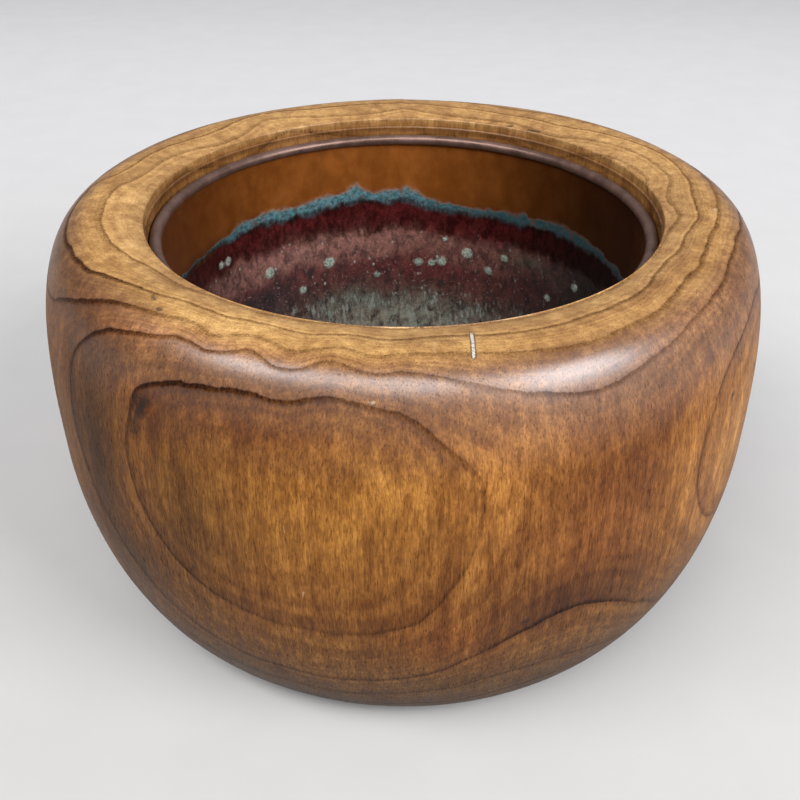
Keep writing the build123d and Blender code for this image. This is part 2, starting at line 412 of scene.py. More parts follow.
# Marks on the wood: strokes from one (azimuth, run) to another, with a half width and a depth in mm
MARKS = {
    "gouge": [((9.2, 292), (10.6, 315), 0.95, 0.3)],
    "dent": [((-39, 296), (-39.4, 296.6), 1.6, 0.5), ((-43.6, 303), (-42.2, 301), 1.0, 0.4),
             ((142, 326), (145, 327.5), 1.6, 0.6), ((150, 325), (151, 327), 1.3, 0.5),
             ((-118, 262), (-116.5, 261), 1.5, 0.4), ((170, 291), (174, 290), 1.1, 0.4),
             ((-152, 118), (-151, 122), 1.4, 0.4)],
    "chip": [((4.0, 296), (4.6, 309), 0.2, 0.1), ((81.6, 299), (82.6, 299), 1.1, 0.3),
             ((-4.3, 271), (-3.7, 271), 0.9, 0.15), ((-13.2, 155), (-12.9, 160), 0.6, 0.1),
             ((-8, 146), (-7.8, 150), 0.5, 0.1), ((-15, 198), (-15, 202), 0.4, 0.1),
             ((128, 240), (128.3, 243), 0.8, 0.2)],
    "knot": [((-36.3, 240), (-35.4, 248), 1.9, 0.05), ((-37.6, 243), (-37.0, 249), 0.7, 0.05),
             ((-37.4, 228), (-37.2, 235), 0.5, 0.05), ((16, 134), (16.1, 137), 0.6, 0.1),
             ((52, 220), (52.4, 224), 0.7, 0.1), ((63.6, 217), (65.4, 213), 0.8, 0.1),
             ((-160, 160), (-159, 168), 1.5, 0.15)],
    "check": [((-25, 201), (-20, 207), 0.35, 0.1), ((-20, 207), (-17, 209.5), 0.3, 0.1),
              ((118, 60), (121, 96), 0.4, 0.3), ((-98, 40), (-96, 70), 0.4, 0.3)],
}
LAST_CUT_RUN = 328  # past here, at the arris, marks have no relief

BELLY_POLISH = 0.06  # share of the polish that the belly has
SHOULDER_RUN = (226, 268)  # where it rises to the whole
RIM_RUN = (286, 303)  # where hands have worn RIM_WEAR of it off again
RIM_WEAR = 0.6

WAX_FILTER = (0.67, 0.62, 0.46)  # old wax deepens every tone of the wood


def from_srgb(colour):
    """Linear colour from 0-255 screen values."""
    share = np.asarray(colour, float) / 255
    return np.where(share <= 0.04045, share / 12.92, ((share + 0.055) / 1.055) ** 2.4)


def toned(table, along):
    """Linear colour along a table of (place, red, green, blue)."""
    rows = np.array(table, float)
    return np.stack([np.interp(along, rows[:, 0], from_srgb(rows[:, k])) for k in (1, 2, 3)], -1)


def turn_between(azimuth, other):
    """Shortest turn in degrees from other to azimuth."""
    return (azimuth - other + 180) % 360 - 180


def patch_weight(azimuth, run, patch):
    """Soft-edged ellipse: 1 in the middle and 0 outside."""
    across = turn_between(azimuth, patch[0]) / patch[2]
    along = (run - patch[1]) / patch[3]
    return np.exp(-(across ** 2 + along ** 2) * 1.2)


def patched(azimuth, run, patches):
    """Product of the patches' factors, each 1 outside its patch."""
    factor = 1.0
    for patch in patches:
        factor = factor * (1 + (patch[4] - 1) * patch_weight(azimuth, run, patch))
    return factor


def painted(base, azimuth, run, patches):
    """Base colour with each patch laid over it."""
    colour = base
    for patch in patches:
        weight = (patch_weight(azimuth, run, patch) * patch[7])[..., None]
        colour = colour * (1 - weight) + from_srgb(patch[4:7]) * weight
    return colour


def stroke_distance(azimuth, run, radius_mm, strokes):
    """Millimetres outside the nearest stroke's edge; negative inside it."""
    nearest = np.full(azimuth.shape, 30.0)
    for (azimuth0, run0), (azimuth1, run1), half_width, *_ in strokes:
        x = np.radians(turn_between(azimuth, azimuth0)) * radius_mm
        y = run - run0
        x1 = np.radians(turn_between(azimuth1, azimuth0)) * radius_mm
        y1 = run1 - run0
        share = np.clip((x * x1 + y * y1) / np.maximum(x1 ** 2 + y1 ** 2, 1e-9), 0, 1)
        distance = np.hypot(x - share * x1, y - share * y1) - half_width
        nearest = np.minimum(nearest, distance)
    return nearest


def stroke_relief(azimuth, run, radius_mm, strokes):
    """Depth in millimetres that the strokes cut into the surface."""
    relief = np.zeros(azimuth.shape)
    for stroke in strokes:
        distance = stroke_distance(azimuth, run, radius_mm, [stroke])
        relief = np.maximum(relief, stroke[3] * (1 - smooth(distance, -stroke[2], 0.5)))
    return relief


def build_log():
    """The log, a little out of round and marked by use."""
    outer = resampled(outer_outline(), LOG_ROWS)
    profile = np.vstack([outer, mouth_outline(outer[-1])])
    columns = around(LOG_COLUMN, LOG_CLOSE_UPS)
    azimuth, radius, height = turned_grid(profile, columns)
    run = np.append(0, np.cumsum(np.hypot(*np.diff(profile, axis=0).T))) / MM
    run = np.repeat(run[:, None], len(columns), 1)

    free = smooth(run, 2, 30) * (np.arange(len(profile)) < len(outer))[:, None]
    arc = np.radians(azimuth) * BELLY_RADIUS / MM
    hollow = LOG_HOLLOW * (1 + ripples(arc, run, 190, 3))
    hollow += LOG_RIPPLE * (1 + ripples(arc, run * 0.6, 34, 5))
    radius_mm = radius / MM
    cuts = stroke_relief(azimuth, run, radius_mm, sum(MARKS.values(), []))
    depth = (hollow * free + cuts * (run < LAST_CUT_RUN)) * MM
    tangent = np.gradient(profile, axis=0)
    tangent /= np.linalg.norm(tangent, axis=1)[:, None]
    piece = turned_piece("log", radius - depth * tangent[:, 1:], height + depth * tangent[:, :1], columns)
    paint_log(piece, azimuth, run, radius_mm)
    return piece


def paint_log(piece, azimuth, run, radius_mm):
    """Stores the ring figure, tones, polish and marks on the log's mesh."""
    field = ring_field()
    worn = 1 - RIM_WEAR * smooth(run, *RIM_RUN)
    polish = BELLY_POLISH + (1 - BELLY_POLISH) * smooth(run, *SHOULDER_RUN) * worn
    tone = painted(toned(WOOD_BY_RUN, run), azimuth, run, WOOD_PATCHES) * WAX_FILTER
    store(piece, ring=field(azimuth, run), ring_gap=ring_gap(field, azimuth, run, radius_mm),
          band=patched(azimuth, run, BAND_PATCHES), tone=tone, run=run,
          polish=polish * patched(azimuth, run, DULL_PATCHES))
    for name, strokes in MARKS.items():
        store(piece, **{name: stroke_distance(azimuth, run, radius_mm, strokes)})


# ======== The copper liner ========

# The tide line left by ash and water: (azimuth, mm below the arris, half width in mm, strength)
TIDE_LINE = [(-174, 61.5, 4.5, 0.8), (-167, 55.5, 6, 1.0), (-160, 60, 5, 1.0), (-150, 63, 5, 1.0),
             (-140, 62, 5, 1.0), (-130, 62, 4.5, 0.9), (-123, 66, 2.4, 0.5), (-114, 66, 0.9, 0.2),
             (-96, 68, 2, 0.4), (-70, 62, 4, 0.8), (-48, 66, 3, 0.7), (-30, 60, 5, 0.9),
             (-8, 65, 3, 0.6), (14, 61, 5, 0.9), (35, 67, 3, 0.6), (58, 62, 4, 0.8),
             (80, 67, 3, 0.5), (100, 69, 2.5, 0.1), (120, 66, 4, 0.12), (136, 66, 5.5, 0.2),
             (150, 69, 3.5, 0.2), (160, 69, 3, 0.3), (168, 68, 3.2, 0.5), (175, 62, 5, 0.8),
             (179, 58.5, 5, 0.8)]
# Painted light and shade on the sheet: (azimuth, times). The far side is painted brightest; the right
# side, which faces away from the window, is painted darkest.
PAINTED_SHADE_BY_AZIMUTH = [(-180, 1.1), (-160, 1.05), (-140, 0.95), (-120, 0.62), (-105, 0.5), (-80, 0.5), (0, 0.6),
           (80, 0.3), (100, 0.10), (120, 0.14), (140, 0.36), (160, 0.85), (180, 1.1)]
# Crusts below the tide line, as seen: (mm below the arris, red, green, blue)
CRUST_BY_DOWN = [(60, 92, 29, 28), (73, 112, 40, 39), (84, 100, 42, 39), (93, 122, 80, 70),
                 (106, 118, 76, 66), (116, 86, 36, 32), (132, 82, 42, 36), (150, 84, 62, 54),
                 (178, 124, 118, 104)]
CRUST_PATCHES = [
    (-148, 99, 26, 14, 138, 98, 88, 0.6), (-134, 130, 17, 17, 36, 27, 32, 0.8),
    (-124, 148, 12, 9, 100, 94, 88, 0.5), (-110, 100, 9, 30, 84, 50, 42, 0.5),
    (176, 123, 24, 8, 84, 27, 26, 0.75), (152, 104, 20, 14, 92, 52, 43, 0.75),
    # The dark patch at azimuth 116 is painted shade on the right wall, which faces away from the window.
    (139, 100, 8, 6, 98, 92, 76, 0.6), (116, 112, 15, 44, 40, 19, 18, 0.85),
    (178, 164, 15, 13, 140, 142, 126, 0.8), (-166, 152, 13, 8, 102, 112, 98, 0.75),
    (160, 152, 9, 10, 98, 100, 88, 0.6), (20, 120, 30, 24, 110, 92, 80, 0.5),
    (-50, 150, 26, 18, 60, 44, 42, 0.6),
]
CRUST_LIGHT = 1.1  # the inside of the liner is deep in shade
SPOTS = [(160, 105, 4.5), (168, 115, 4), (171, 117, 3), (175, 117, 3.5), (-157, 112, 4.5),
         (-137, 107, 4.5), (-122, 82, 3.5), (-119, 82, 3), (167, 95, 2.2), (148, 103, 3), (153, 117, 3.2),
         (-100, 112, 4), (-64, 104, 4.5), (-40, 118, 3.5), (-20, 98, 3), (5, 112, 4.5), (30, 106, 3.5),
         (52, 121, 4), (76, 100, 3), (98, 115, 4), (122, 104, 3.5), (132, 124, 3), (-148, 131, 3),
         (-172, 128, 2.6), (64, 138, 3), (-84, 134, 3.4)]


def tide_at(azimuth):
    """Depth, half width and strength of the tide line at an azimuth."""
    points = np.array(TIDE_LINE, float).T
    return [np.interp(azimuth, points[0], values, period=360) for values in points[1:]]


def build_liner_wall():
    """The liner's upright sheet: dented a little, with a lapped seam outside and crusts inside."""
    top, foot = WALL_HIGH.z, WALL_LOW.z
    inner = straight((LINER_INNER, top), (LINER_INNER, foot), WALL_ROWS[0])
    outer = straight((LINER_OUTER, foot), (LINER_OUTER, top), WALL_ROWS[1])
    profile = np.array([(LINER_INNER, top)] + inner + [(LINER_OUTER, foot)] + outer)
    seam_edge = np.degrees(SEAM_WIDTH / 2 / LINER_OUTER)
    columns = around(WALL_COLUMN, [(side * seam_edge - 0.5, side * seam_edge + 0.5, SEAM_COLUMN)
                                   for side in (-1, 1)])
    azimuth, radius, height = turned_grid(profile, columns)
    is_inner = (np.arange(len(profile)) <= len(inner))[:, None]

    arc = np.radians(azimuth) * LINER_INNER / MM
    down = (MOUTH_Z - height) / MM
    tide, tide_half, tide_strength = tide_at(azimuth)
    below = down - tide
    crust = np.exp(-(below / tide_half) ** 2) * tide_strength * (0.6 + 0.4 * ripples(arc, down, 7, 8))
    spots = stroke_distance(azimuth, down, LINER_INNER / MM,
                            [((turn, depth), (turn, depth), size) for turn, depth, size in SPOTS])
    crust = TIDE_CRUST * np.clip(crust, 0, 1) + SPOT_CRUST * (1 - smooth(spots, -1.5, 0.6))
    crust += LOW_CRUST * smooth(below, 20, 60) * (1 + ripples(arc, down, 9, 9))
    free = smooth(down, 22, 40) * (1 - smooth(down, 178, 188))
    dents = WALL_DENT * ripples(arc, down * 0.5, 120, 11) * free
    lap = 1 - smooth(np.abs(turn_between(azimuth, 0)) - seam_edge, -0.06, 0.3)
    radius = radius + dents * MM
    radius = np.where(is_inner, radius - crust * free * MM, radius + lap * SHEET * (down > 24))
    piece = turned_piece("liner_wall_sheet", radius, height, columns)
    # Painted light and shade by azimuth, no brighter than 0.8 below the tide line
    tarnish = np.interp(azimuth, *np.array(PAINTED_SHADE_BY_AZIMUTH, float).T)
    tarnish = np.where(below < 2, tarnish, np.minimum(tarnish, 0.8))
    store(piece, down=down, below_tide=below, tide_half=tide_half, tide_strength=tide_strength,
          spot=spots, tone=crust_tone(azimuth, down, tide, arc), tarnish=tarnish,
          inside=np.where(is_inner, 1.0, 0.0).repeat(len(columns), 1))
    return piece


def crust_tone(azimuth, down, tide, arc):
    """Painted colour of the crusts, in layers that follow the tide line some of the way."""
    wander = down + (62 - tide) * 0.6 + 4.5 * ripples(arc, down * 1.5, 34, 12)
    return painted(toned(CRUST_BY_DOWN, wander), azimuth, wander, CRUST_PATCHES) * CRUST_LIGHT


def build_liner_bottom():
    """The liner's floor, slightly uneven, with its edge turned down inside the wall."""
    edge = FLOOR_HIGH.x
    top, foot = FLOOR_HIGH.z, FLOOR_LOW.z
    bend = (edge - FLANGE_BEND, top - FLANGE_BEND)
    inside = FLANGE_BEND - SHEET
    profile = [(0, top)] + straight((0.0, top), (bend[0], top), 60)
    profile += corner(bend, 80, 0, FLANGE_BEND)
    profile += straight(profile[-1], (edge, foot), 3) + [(edge - SHEET, foot)]
    profile += straight(profile[-1], (edge - SHEET, bend[1]), 3)
    profile += corner(bend, 20, 90, inside, 4)
    profile += straight(profile[-1], (0.0, top - SHEET), 30)
    profile = np.array(profile)
    columns = around(FLOOR_COLUMN)
    azimuth, radius, height = turned_grid(profile, columns)
    x = radius * np.sin(np.radians(azimuth)) / MM
    y = -radius * np.cos(np.radians(azimuth)) / MM
    sag = FLOOR_SAG + FLOOR_RIPPLE * ripples(x, y, 70, 21)
    height = height - sag * (1 - smooth(radius / MM, 60, edge / MM - 4)) * MM
    return turned_piece("liner_floor_disc", radius, height, columns)


def build_liner_rim():
    """The rolled bead round the liner's edge, a slit tube with small dings."""
    slit = math.degrees(math.asin(SHEET / 2 / BEAD_RADIUS))
    angles = np.linspace(-90 + slit, 270 - slit, BEAD_STEPS)
    outer = [(angle, BEAD_RADIUS) for angle in angles]
    inner = [(angle, BEAD_RADIUS - BEAD_SHEET) for angle in angles[::-1][::2]]
    section = np.array(outer + inner)
    columns = around(BEAD_COLUMN)
    azimuth, angle = np.meshgrid(columns, np.radians(section[:, 0]))
    arc = np.radians(azimuth) * BEAD_CIRCLE / MM
    dings = np.clip(ripples(arc, np.degrees(angle) * 0.1, 22, 31), 0, 1) ** 2 * BEAD_DING
    reach = section[:, 1:] - dings * MM * (section[:, 1:] == BEAD_RADIUS)
    radius = BEAD_CIRCLE + reach * np.cos(angle)
    height = BEAD_Z + reach * np.sin(angle)
    return turned_piece("liner_bead", radius, height, columns)


# ======== Materials ========

class Material:
    """Short calls for one material's node tree."""

    def __init__(self, name):
        self.data = bpy.data.materials.new(name)
        self.data.use_nodes = True
        self.tree = self.data.node_tree
        self.shader = self.tree.nodes["Principled BSDF"]
        self.place = self.node("ShaderNodeTexCoord").outputs["Object"]

    def node(self, kind, inputs=None, **settings):
        made = self.tree.nodes.new(kind)
        for key, value in settings.items():
            setattr(made, key, value)
        for key, value in (inputs or {}).items():
            self.feed(made.inputs[key], value)
        return made

    def feed(self, socket, value):
        if isinstance(value, bpy.types.NodeSocket):
            self.tree.links.new(value, socket)
        elif isinstance(value, (int, float)):
            socket.default_value = value
        else:
            socket.default_value = tuple(value) + (1,) * (len(socket.default_value) - len(value))

    def set(self, name, value):
        self.feed(self.shader.inputs[name], value)

    def shaded(self, colour, roughness, normal=None, metallic=0):
        """The finished material, with the shader's usual sockets fed."""
        self.set("Base Color", colour)
        self.set("Roughness", roughness)
        self.set("Metallic", metallic)
        if normal is not None:
            self.set("Normal", normal)
        return self.data

    def math(self, operation, a, b=0, c=0, clamp=False):
        made = self.node("ShaderNodeMath", {0: a, 1: b, 2: c}, operation=operation, use_clamp=clamp)
        return made.outputs[0]

    def mul(self, a, b):
        return self.math("MULTIPLY", a, b)

    def add(self, a, b):
        return self.math("ADD", a, b)

    def read(self, name, output="Fac"):
        return self.node("ShaderNodeAttribute", attribute_name=name).outputs[output]

    def span(self, value, low, high, to_low=0, to_high=1):
        """Eased step of value from low to high."""
        made = self.node("ShaderNodeMapRange", {"Value": value, "From Min": low, "From Max": high,
                                                "To Min": to_low, "To Max": to_high},
                         interpolation_type="SMOOTHSTEP")
        return made.outputs["Result"]

    def spaced(self, size_mm, longer, shift, axis=2):
        """The place in steps of that size, so many times longer along one axis."""
        scale = [1 / (size_mm * MM)] * 3
        scale[axis] /= longer
        inputs = {"Vector": self.place, "Scale": scale, "Location": shift}
        return self.node("ShaderNodeMapping", inputs).outputs[0]

    def noise(self, size_mm, longer=1, detail=3, rough=0.5, shift=(0, 0, 0), distortion=0, axis=2):
        """Noise of that feature size, longer along one axis."""
        made = self.node("ShaderNodeTexNoise", {"Vector": self.spaced(size_mm, longer, shift, axis),
                                                "Scale": 1, "Detail": detail, "Roughness": rough,
                                                "Distortion": distortion})
        return made.outputs["Fac"]

    def cells(self, size_mm, longer):
        """Distance to the nearest of scattered points, in cell sizes."""
        inputs = {"Vector": self.spaced(size_mm, longer, (0, 0, 0)), "Scale": 1}
        return self.node("ShaderNodeTexVoronoi", inputs).outputs["Distance"]

    def mix(self, share, a, b, blend="MIX"):
        """Colour a with b laid over it by share."""
        made = self.node("ShaderNodeMix", data_type="RGBA", blend_type=blend, clamp_result=False)
        self.feed(made.inputs[0], share)
        self.feed(made.inputs[6], a)
        self.feed(made.inputs[7], b)
        return made.outputs[2]

    def swing(self, noise, size):
        """A shift to either side with a noise, size from end to end."""
        return self.mul(self.math("SUBTRACT", noise, 0.5), size)

    def deepen(self, share, colour, by):
        """Colour multiplied by another, by share."""
        return self.mix(share, colour, by, "MULTIPLY")

    def tint(self, colour, low, high, noise, spread=0.2):
        """Colour times a tint from low to high with a noise; a small spread gives crisp edges."""
        tints = self.mix(self.span(noise, 0.5 - spread, 0.5 + spread), low, high)
        return self.deepen(1, colour, tints)

    def bump(self, height, depth_mm, strength=1, under=None):
        inputs = {"Height": height, "Distance": depth_mm * MM, "Strength": strength}
        if under is not None:
            inputs["Normal"] = under
        return self.node("ShaderNodeBump", inputs).outputs["Normal"]


def log_material():
    """Waxed, handled hardwood: ring lines, upright fibres and pores, worn pale on the rim."""
    m = Material("log_wood")
    ring, past_line, before_line = wavy_rings(m)
    pores = m.noise(0.8, 7, 2, 0.6)
    dash = m.noise(1.15, 8, 2, 0.55, (6, 1, 2))
    streak = m.noise(3.6, 26, 3, 0.6, (9, 2, 4))
    broad = m.noise(13, 7, 3, 0.55, (1, 5, 8))
    cloud = m.noise(70, 1, 4, 0.6, (4, 4, 4))

    colour = fibre_colour(m, ring, dash, streak, broad, cloud)
    colour, pore_band = ring_colour(m, colour, past_line, before_line, pores)
    colour, open_pores = pore_colour(m, colour, pores, cloud)
    colour = wood_marks(m, colour)
    # Painted shade: darker and greyer towards the foot, under the belly, in cloudy patches
    painted_foot_shade = m.mul(m.span(m.read("run"), 60, 8), m.span(cloud, 0.2, 0.8, 0.4, 0.9))
    colour = m.deepen(painted_foot_shade, colour, (0.45, 0.42, 0.4))

    worn = m.add(m.span(streak, 0.2, 0.8, -0.05, 0.07), m.span(cloud, 0.2, 0.8, -0.05, 0.06))
    roughness = m.add(m.add(0.48, worn), m.mul(open_pores, 0.2))
    open_grain = m.math("MAXIMUM", m.mul(open_pores, 0.6), m.mul(pore_band, 0.8))
    m.set("Coat Weight", m.mul(m.math("SUBTRACT", 1, open_grain, clamp=True), m.read("polish")))
    m.set("Coat Roughness", 0.35)
    m.set("Coat IOR", 1.85)
    m.set("Specular IOR Level", 0.1)
    surface = m.add(m.mul(pores, 0.9), m.add(m.mul(dash, 0.5), m.mul(pore_band, -0.2)))
    relief = m.bump(surface, 0.16, 0.55, m.bump(m.add(streak, broad), 0.5, 0.35))
    return m.shaded(colour, roughness, relief)


def wavy_rings(m):
    """The ring number with uneven lines, and the mm past the last line and before the next."""
    gap = m.read("ring_gap")
    wander = m.swing(m.noise(38, 1.4, 2), 5)
    waves = m.swing(m.noise(9, 1.5, 2, 0.5, (8, 4, 3)), 2.2)
    ragged = m.swing(m.noise(1.7, 5, 3, 0.6), 1.3)
    shift_mm = m.add(wander, m.add(waves, ragged))
    ring = m.add(m.read("ring"), m.math("DIVIDE", shift_mm, gap))
    share = m.math("FRACT", ring)
    return ring, m.mul(share, gap), m.mul(m.math("SUBTRACT", 1, share), gap)


def fibre_colour(m, ring, dash, streak, broad, cloud):
    """The painted tone with clouds and growth shades, and fibres that fade on the worn rim."""
    fine = m.noise(0.55, 12, 2, 0.7, (3, 7, 1))
    growth = m.node("ShaderNodeTexNoise", {"W": m.mul(ring, 7), "Scale": 1, "Detail": 3},
                    noise_dimensions="1D").outputs["Fac"]
    plain = m.read("tone", "Color")
    for texture, low, high in [(cloud, (0.88, 0.84, 0.8), (1.12, 1.14, 1.16)),
                               (broad, (0.85, 0.8, 0.74), (1.12, 1.14, 1.16)),
                               (growth, (0.86, 0.82, 0.78), (1.12, 1.14, 1.15))]:
        plain = m.tint(plain, low, high, texture)
    fibrous = plain
    for texture, low, high, spread in [(streak, (0.78, 0.72, 0.64), (1.16, 1.19, 1.22), 0.17),
                                       (dash, (0.85, 0.81, 0.76), (1.14, 1.17, 1.19), 0.12),
                                       (fine, (0.84, 0.82, 0.8), (1.16, 1.18, 1.2), 0.14)]:
        fibrous = m.tint(fibrous, low, high, texture, spread)
    return m.mix(m.span(m.read("run"), 276, 300, 0, 0.55), fibrous, plain)


def ring_colour(m, colour, past_line, before_line, pores):
    """Each ring line: a hairline, a dotted band of pores past it and soft shade on both sides."""
    band = m.read("band")
    onset = m.span(past_line, 0, 0.9)
    pore_band = m.mul(m.mul(onset, m.span(past_line, 4.6, 0.9)), band)
    halo = m.mul(m.math("EXPONENT", m.mul(past_line, -0.07)), band)
    approach = m.math("EXPONENT", m.mul(before_line, -0.35))
    dotted = m.mul(pore_band, m.span(pores, 0.34, 0.6, 1, 0.4))
    hairline = m.mul(onset, m.math("EXPONENT", m.mul(past_line, -1.1)))
    hairline = m.mul(hairline, m.span(pores, 0.36, 0.6, 0.75, 0.2))
    colour = m.deepen(m.mul(halo, 0.36), colour, (0.42, 0.3, 0.24))
    colour = m.deepen(m.mul(approach, 0.22), colour, (0.66, 0.5, 0.36))
    colour = m.deepen(m.math("MULTIPLY", dotted, 0.66, clamp=True), colour, (0.2, 0.155, 0.14))
    return m.deepen(hairline, colour, (0.26, 0.19, 0.16)), pore_band


def pore_colour(m, colour, pores, cloud):
    """Open pores as short dark dashes, with blotches, dark specks and pale flecks."""
    blotch = m.noise(7, 1.5, 4, 0.65, (3, 3, 8))
    specks = m.noise(1.3, 1.6, 3, 0.65, (7, 2, 5))
    flecks = m.noise(0.9, 9, 2, 0.55, (5, 1, 9))
    open_pores = m.mul(m.span(pores, 0.44, 0.33), m.span(cloud, 0.2, 0.7, 0.5, 1))
    colour = m.deepen(m.mul(open_pores, 0.7), colour, (0.38, 0.3, 0.27))
    colour = m.tint(colour, (0.8, 0.75, 0.7), (1.1, 1.11, 1.12), blotch, 0.16)
    colour = m.deepen(m.span(specks, 0.4, 0.3, 0, 0.5), colour, (0.36, 0.29, 0.26))
    colour = m.deepen(m.span(flecks, 0.63, 0.76, 0, 0.5), colour, (1.7, 1.6, 1.4))
    return colour, open_pores


def wood_marks(m, colour):
    """Gouges, dents, chips, knots and drying checks laid over the wood's colour."""
    fray = m.swing(m.noise(0.9, 3, 2, 0.6, (2, 2, 2)), 1.4)
    blotchy = m.swing(m.noise(2.4, 1.5, 4, 0.7, (6, 2, 6)), 9)
    torn = m.mix(m.span(m.noise(1.5, rough=0.7, shift=(9, 9, 1)), 0.3, 0.5),
                 (0.09, 0.07, 0.055), (0.6, 0.55, 0.47))
    edges = {name: m.add(m.read(name), fray) for name in MARKS}
    edges["knot"] = m.add(edges["knot"], blotchy)
    # (mark, mm from its edge where it starts to show, mm where it shows fully, how strongly, colour)
    for name, start, full, share, mark_colour in [
            ("gouge", 0.7, 0.1, 0.8, (0.05, 0.032, 0.02)), ("gouge", 0, -0.5, 0.95, torn),
            ("dent", 0.6, -0.5, 0.75, (0.06, 0.035, 0.02)), ("chip", 0.3, -0.3, 0.45, (0.55, 0.42, 0.27)),
            ("knot", 2.6, -0.6, 0.92, (0.022, 0.011, 0.007)),
            ("check", 0.3, -0.1, 0.7, (0.05, 0.03, 0.02))]:
        colour = m.mix(m.span(edges[name], start, full, 0, share), colour, mark_colour)
    return colour


def copper_wall_material():
    """Old sheet copper: brown and clean above the tide line, blue-green on it, red and crusted below."""
    m = Material("liner_copper")
    inside, down = m.read("inside"), m.read("down")
    wobble = m.swing(m.noise(13, detail=2), 8)
    ragged = m.swing(m.noise(2.6, rough=0.6, shift=(5, 2, 1)), 1.8)
    below = m.add(m.read("below_tide"), m.add(wobble, ragged))
    blot = m.noise(14, 1.2, 5, 0.65, (3, 1, 2))
    fine = m.noise(1.6, detail=4, rough=0.7, shift=(1, 6, 3))
    drip = m.noise(3, 5, 5, 0.7, (7, 3, 5), 0.3)
    mottle = m.noise(6, 1.6, 5, 0.7, (2, 8, 6), 0.5)
    wander = m.add(down, m.add(m.swing(blot, 26), m.mul(ragged, 2)))

    clean = m.mix(m.span(blot, 0.25, 0.75), (0.41, 0.12, 0.017), (0.52, 0.165, 0.028))
    clean = m.mix(m.span(drip, 0.5, 0.75, 0, 0.25), clean, (0.28, 0.11, 0.05))
    clean = m.mix(m.span(below, -9, -2, 0, 0.5), clean, (0.2, 0.075, 0.03))
    crust = crust_colour(m, wander, blot, fine, mottle)
    colour = m.mix(m.span(below, 1.5, 5), clean, crust)
    colour, tide = tide_colour(m, colour, below, drip, mottle, inside)
    colour, spot = spot_colour(m, colour, ragged, fine, mottle, inside)
    marked = m.math("MAXIMUM", tide, spot)
    # Painted light and shade by azimuth, weaker on the tide line and the spots
    tarnish = m.read("tarnish")
    shade = m.node("ShaderNodeCombineColor", {k: tarnish for k in (0, 1, 2)}).outputs[0]
    colour = m.deepen(m.span(marked, 0, 1, 1, 0.45), colour, shade)
    outside = m.mix(m.span(blot, 0.3, 0.7), (0.12, 0.055, 0.03), (0.2, 0.1, 0.055))
    outside = m.mix(m.span(drip, 0.52, 0.7, 0, 0.35), outside, (0.09, 0.14, 0.12))

    crusted = m.math("MAXIMUM", marked, m.mul(m.span(wander, 84, 96), inside))
    roughness = m.add(m.span(crusted, 0, 1, 0.36, 0.68), m.span(blot, 0.3, 0.7, -0.05, 0.07))
    relief = m.add(m.mul(fine, crusted), m.add(m.mul(tide, 0.4), m.mul(spot, 0.8)))
    relief = m.bump(relief, 0.5, 0.6, m.bump(m.add(blot, drip), 0.3, 0.3))
    metallic = m.span(crusted, 0, 1, 0.7, 0.15)
    return m.shaded(m.mix(inside, outside, colour), roughness, relief, metallic)


def crust_colour(m, wander, blot, fine, mottle):
    """The painted crust, mottled, with pale runs, black patches, pale grains and pinkish freckles."""
    crust = m.tint(m.read("tone", "Color"), (0.42, 0.36, 0.36), (1.45, 1.5, 1.52), mottle, 0.16)
    crust = m.tint(crust, (0.74, 0.7, 0.68), (1.24, 1.26, 1.26), fine)
    streaks = m.span(m.noise(2.4, 4, 4, 0.65, (4, 4, 7)), 0.48, 0.62)
    patches = m.span(m.noise(11, shift=(1, 7, 7)), 0.42, 0.56)
    runs = m.mul(m.mul(m.span(wander, 136, 150), streaks), patches)
    crust = m.mix(m.mul(runs, 0.75), crust, m.mix(fine, (0.14, 0.19, 0.16), (0.5, 0.57, 0.5)))
    black = m.mul(m.span(wander, 100, 124), m.span(mottle, 0.4, 0.31))
    crust = m.mix(black, crust, (0.022, 0.015, 0.016))
    grains = m.mul(m.span(m.cells(5.5, 1.5), 0.24, 0.1), m.span(wander, 84, 96))
    grains = m.mul(grains, m.span(blot, 0.48, 0.6))
    crust = m.mix(m.mul(grains, 0.8), crust, (0.4, 0.42, 0.36))
    freckles = m.span(m.noise(2.4, detail=2, shift=(8, 8, 2)), 0.62, 0.72)
    freckles = m.mul(freckles, m.span(wander, 92, 110))
    return m.mix(m.mul(freckles, 0.6), crust, (0.33, 0.24, 0.21))


def tide_colour(m, colour, below, drip, mottle, inside):
    """The old tide's uneven blue-green line, with soot along its lower edge."""
    half = m.read("tide_half")
    uneven = m.span(m.noise(17, 3, 2, 0.5, (2, 6, 9)), 0.3, 0.7, 0.7, 1.4)
    across = m.math("DIVIDE", m.math("ABSOLUTE", below), m.mul(m.mul(half, 1.2), uneven))
    tide = m.mul(m.mul(m.span(across, 1.35, 0.35), m.span(mottle, 0.34, 0.48, 0.7, 1)), inside)
    glow = m.span(m.noise(3.4, 0.8, 4, 0.65, (6, 6, 3)), 0.36, 0.62, 0.1, 1)
    teal = m.mix(m.mul(glow, m.read("tide_strength")), (0.01, 0.054, 0.065), (0.085, 0.205, 0.232))
    from_edge = m.math("ABSOLUTE", m.math("SUBTRACT", below, m.mul(half, 0.9)))
    soot = m.mul(m.span(from_edge, 3.2, 0.5), m.span(drip, 0.42, 0.52, 0.35, 1))
    colour = m.mix(tide, colour, teal)
    return m.mix(m.mul(soot, 0.85), colour, (0.012, 0.012, 0.013)), tide


def spot_colour(m, colour, ragged, fine, mottle, inside):
    """Round pale verdigris spots."""
    spot = m.span(m.add(m.read("spot"), m.mul(ragged, 1.6)), 1.2, -1.2)
    spot = m.mul(m.mul(spot, m.span(mottle, 0.3, 0.5, 0.5, 1)), inside)
    verdigris = m.mix(m.span(fine, 0.35, 0.65), (0.12, 0.19, 0.16), (0.5, 0.58, 0.48))
    return m.mix(m.mul(spot, 0.85), colour, verdigris), spot


